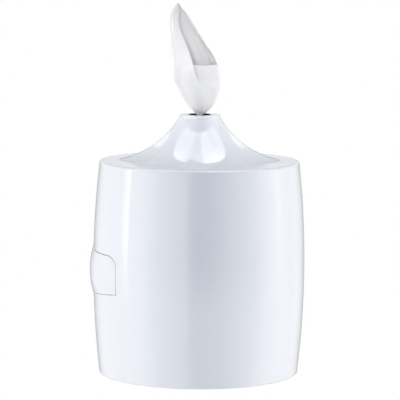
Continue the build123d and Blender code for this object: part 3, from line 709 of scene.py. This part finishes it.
# What the gloss mirrors, round the horizon: degrees from the camera's side and brightness.
# White walls with a dark gap at the camera, one tall soft box on the left, one strip on the right.
WALLS = ((-180, 0.35), (-164, 0.36), (-157, 0.42), (-151, 0.58), (-144, 0.85), (-134, 1.1), (-112, 1.5),
         (-99, 1.9), (-81, 2.8), (-63, 3.2), (-43, 2.5), (-16, 2.5), (-9, 0.9), (-3, 0.2), (8, 0.15),
         (16, 0.35), (30, 0.75), (62, 1.3), (81, 2.2), (106, 1.8), (121, 1.1), (134, 1.1), (144, 0.85),
         (151, 0.58), (157, 0.42), (164, 0.36), (180, 0.35))
STRIPS = ((-180, 0), (-96, 0), (-92, 1.0), (-88, 2.4), (-84.5, 2.9), (-82.5, 0), (90, 0), (93, 0.9),
          (101, 0.7), (104, 0), (180, 0))
# The wall behind, above the horizon, and what fills the dark gap lower down.
BEHIND = ((-180, 0.62), (-150, 0.5), (-125, 0), (125, 0), (150, 0.5), (180, 0.62))
LOWER = ((-180, 0), (-120, 0.1), (-40, 0.4), (-16, 0.9), (-9, 1.3), (-3, 1.7), (8, 1.7), (16, 1.4), (30, 0.9),
         (70, 0.4), (120, 0.1), (180, 0))
# Overhead: a round soft box of this reach in x and y, split along x by a dimmer strip.
OVERHEAD_REACH, OVERHEAD_Y = (0.8, 0.51), -0.03
CEILING = ((-1, 2.8), (-0.46, 3.0), (-0.42, 4.2), (-0.22, 4.4), (-0.2, 3.0),
           (0.04, 3.0), (0.06, 5.6), (0.36, 5.0), (0.46, 3.2), (1, 2.0))
CEILING_DIM = 0.8
# Fill: brightness all round, how much more comes from the camera's side and from above, the least.
FILL, FILL_FRONT, FILL_TOP, FILL_LEAST = 0.27, 0.5, 0.45, 0.1
FILL_COLOUR = (0.87, 0.915, 1.01)
CARD_COLOUR = (0.97, 0.985, 1.0)


def world():
    """Plain white behind the object, a soft fill, and a studio for the gloss to mirror."""
    scene_world = bpy.data.worlds.new("studio")
    bpy.context.scene.world = scene_world
    scene_world.use_nodes = True
    nodes, links = scene_world.node_tree.nodes, scene_world.node_tree.links
    nodes.clear()
    source = nodes.new("ShaderNodeTexCoord")
    split = nodes.new("ShaderNodeSeparateXYZ")
    links.new(source.outputs["Generated"], split.inputs["Vector"])
    x, y, z = (split.outputs[k] for k in "XYZ")
    ahead = math_node(nodes, links, "MULTIPLY_ADD", y, -FILL_FRONT, FILL)
    lit = math_node(nodes, links, "MULTIPLY_ADD", z, FILL_TOP, ahead)
    fill = nodes.new("ShaderNodeBackground")
    fill.inputs["Color"].default_value = (*FILL_COLOUR, 1)
    links.new(math_node(nodes, links, "MAXIMUM", lit, FILL_LEAST), fill.inputs["Strength"])
    around = math_node(nodes, links, "ARCTAN2", x, math_node(nodes, links, "MULTIPLY", y, -1.0))
    degrees_round = math_node(nodes, links, "MULTIPLY", around, 180 / pi)
    walls, strips, lower, behind = (ramp(nodes, links, degrees_round, -180, 180, table)
                                    for table in (WALLS, STRIPS, LOWER, BEHIND))
    window = math_node(nodes, links, "MULTIPLY", ranged(nodes, links, z, -0.2, -0.08, 0.0, 1.0),
                       ranged(nodes, links, z, 0.5, 0.42, 0.0, 1.0))
    walls = math_node(nodes, links, "ADD", walls, math_node(nodes, links, "MULTIPLY", strips, window))
    low = math_node(nodes, links, "MULTIPLY", lower, ranged(nodes, links, z, -0.12, -0.22, 0.0, 1.0))
    behind = math_node(nodes, links, "MULTIPLY", behind, ranged(nodes, links, z, 0.0, 0.08, 0.0, 1.0))
    walls = math_node(nodes, links, "MULTIPLY", walls, ranged(nodes, links, z, 0.12, 0.3, 1.0, 0.45))
    walls = math_node(nodes, links, "ADD", math_node(nodes, links, "ADD", walls, low), behind)
    from_middle = math_node(nodes, links, "SUBTRACT", y, OVERHEAD_Y)
    reach_x = math_node(nodes, links, "DIVIDE", x, OVERHEAD_REACH[0])
    reach_y = math_node(nodes, links, "DIVIDE", from_middle, OVERHEAD_REACH[1])
    spread = math_node(nodes, links, "ADD", math_node(nodes, links, "MULTIPLY", reach_x, reach_x),
                       math_node(nodes, links, "MULTIPLY", reach_y, reach_y))
    lamp = ranged(nodes, links, spread, 1.04, 0.96, 0.0, 1.0)
    ceiling = math_node(nodes, links, "MULTIPLY", ramp(nodes, links, x, -1, 1, CEILING), lamp)
    ceiling = math_node(nodes, links, "ADD", ceiling, CEILING_DIM)
    mirrored = nodes.new("ShaderNodeMix")
    links.new(ranged(nodes, links, z, 0.45, 0.6, 0.0, 1.0), mirrored.inputs["Factor"])
    links.new(walls, mirrored.inputs["A"])
    links.new(ceiling, mirrored.inputs["B"])
    cards = nodes.new("ShaderNodeBackground")
    cards.inputs["Color"].default_value = (*CARD_COLOUR, 1)
    links.new(mirrored.outputs["Result"], cards.inputs["Strength"])
    white = nodes.new("ShaderNodeBackground")
    white.inputs["Color"].default_value = (1, 1, 1, 1)
    path = nodes.new("ShaderNodeLightPath")
    glossy = nodes.new("ShaderNodeMixShader")
    links.new(path.outputs["Is Glossy Ray"], glossy.inputs["Fac"])
    links.new(fill.outputs["Background"], glossy.inputs[1])
    links.new(cards.outputs["Background"], glossy.inputs[2])
    camera_ray, through_ray = path.outputs["Is Camera Ray"], path.outputs["Is Transmission Ray"]
    seen = math_node(nodes, links, "MAXIMUM", camera_ray, through_ray)
    mix = nodes.new("ShaderNodeMixShader")
    links.new(seen, mix.inputs["Fac"])
    links.new(glossy.outputs["Shader"], mix.inputs[1])
    links.new(white.outputs["Background"], mix.inputs[2])
    output = nodes.new("ShaderNodeOutputWorld")
    links.new(mix.outputs["Shader"], output.inputs["Surface"])


floor()
camera()
world()
boxes = {name: soft_box(name, *values) for name, values in SOFT_BOXES.items()}
boxes["soft_box_wipe"].location.z += WIPE_BEAM_RAISED
boxes["soft_box_wipe"].data.spread = radians(WIPE_BEAM_SPREAD)
bpy.context.scene.view_settings.view_transform = "Standard"
